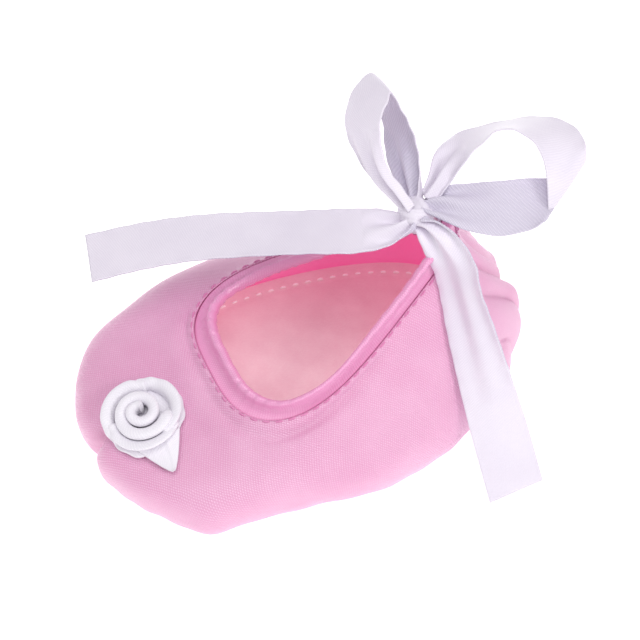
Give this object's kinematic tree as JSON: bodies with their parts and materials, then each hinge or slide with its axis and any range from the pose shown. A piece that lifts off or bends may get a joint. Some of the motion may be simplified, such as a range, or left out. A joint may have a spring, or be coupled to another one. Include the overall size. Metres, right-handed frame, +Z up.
{
  "type": "ballet slipper",
  "caption": "Soft baby ballet slipper in pink satin with an elastic collar, a white ribbon bow tied at the heel and a white ribbon rose on the toe.",
  "frame": {"origin": "on the floor under the middle of the outsole's underside", "axes": "+Z up, -X towards the toe, +X towards the heel, +Y to the left of someone wearing it and facing the toe"},
  "size_m": [0.1216, 0.0911, 0.0734],
  "materials": {
    "suede": "brushed",
    "foam": "matt",
    "sock_fabric": "brushed",
    "white_thread": "matt",
    "pink_satin": "satin",
    "lining": "matt",
    "elastic": "matt",
    "pink_thread": "matt",
    "white_ribbon": "satin"
  },
  "bodies": {
    "shoe": {"outsole": "suede", "midsole_foam": "foam", "insole_sock": "sock_fabric", "insole_stitching": "white_thread", "upper_outer": "pink_satin", "upper_lining": "lining", "collar_casing": "pink_satin", "collar_elastic": "elastic", "edge_stitching": "pink_thread", "casing_stitching": "pink_thread", "back_seam_tape": "lining", "ribbon_anchor": "white_ribbon", "bow_knot": "white_ribbon", "rose_base": "white_ribbon", "rose_coil": "white_ribbon", "rose_petal_1": "white_ribbon", "rose_petal_2": "white_ribbon", "rose_petal_3": "white_ribbon", "rose_tail": "white_ribbon"},
    "loop_left": {"bow_loop_left": "white_ribbon"},
    "loop_right": {"bow_loop_right": "white_ribbon"},
    "tail_left": {"bow_tail_left": "white_ribbon"},
    "tail_right": {"bow_tail_right": "white_ribbon"}
  },
  "joints": [
    {"name": "loop_left_sway", "type": "hinge", "parent": "shoe", "child": "loop_left", "pos_m": [0.0271, -0.0006, 0.053], "axis": [1, 0, 0], "range_deg": [-6, 12], "stiffness_Nm_per_rad": 0.006},
    {"name": "loop_right_sway", "type": "hinge", "parent": "shoe", "child": "loop_right", "pos_m": [0.0271, -0.0006, 0.053], "axis": [0, -1, 0], "range_deg": [-2, 15], "stiffness_Nm_per_rad": 0.006},
    {"name": "tail_left_sway", "type": "hinge", "parent": "shoe", "child": "tail_left", "pos_m": [0.0271, -0.0006, 0.053], "axis": [0, 1, 0], "range_deg": [-3, 14], "stiffness_Nm_per_rad": 0.006},
    {"name": "tail_right_sway", "type": "hinge", "parent": "shoe", "child": "tail_right", "pos_m": [0.0271, -0.0006, 0.053], "axis": [-1, 0, 0], "range_deg": [0, 14], "stiffness_Nm_per_rad": 0.006}
  ]
}
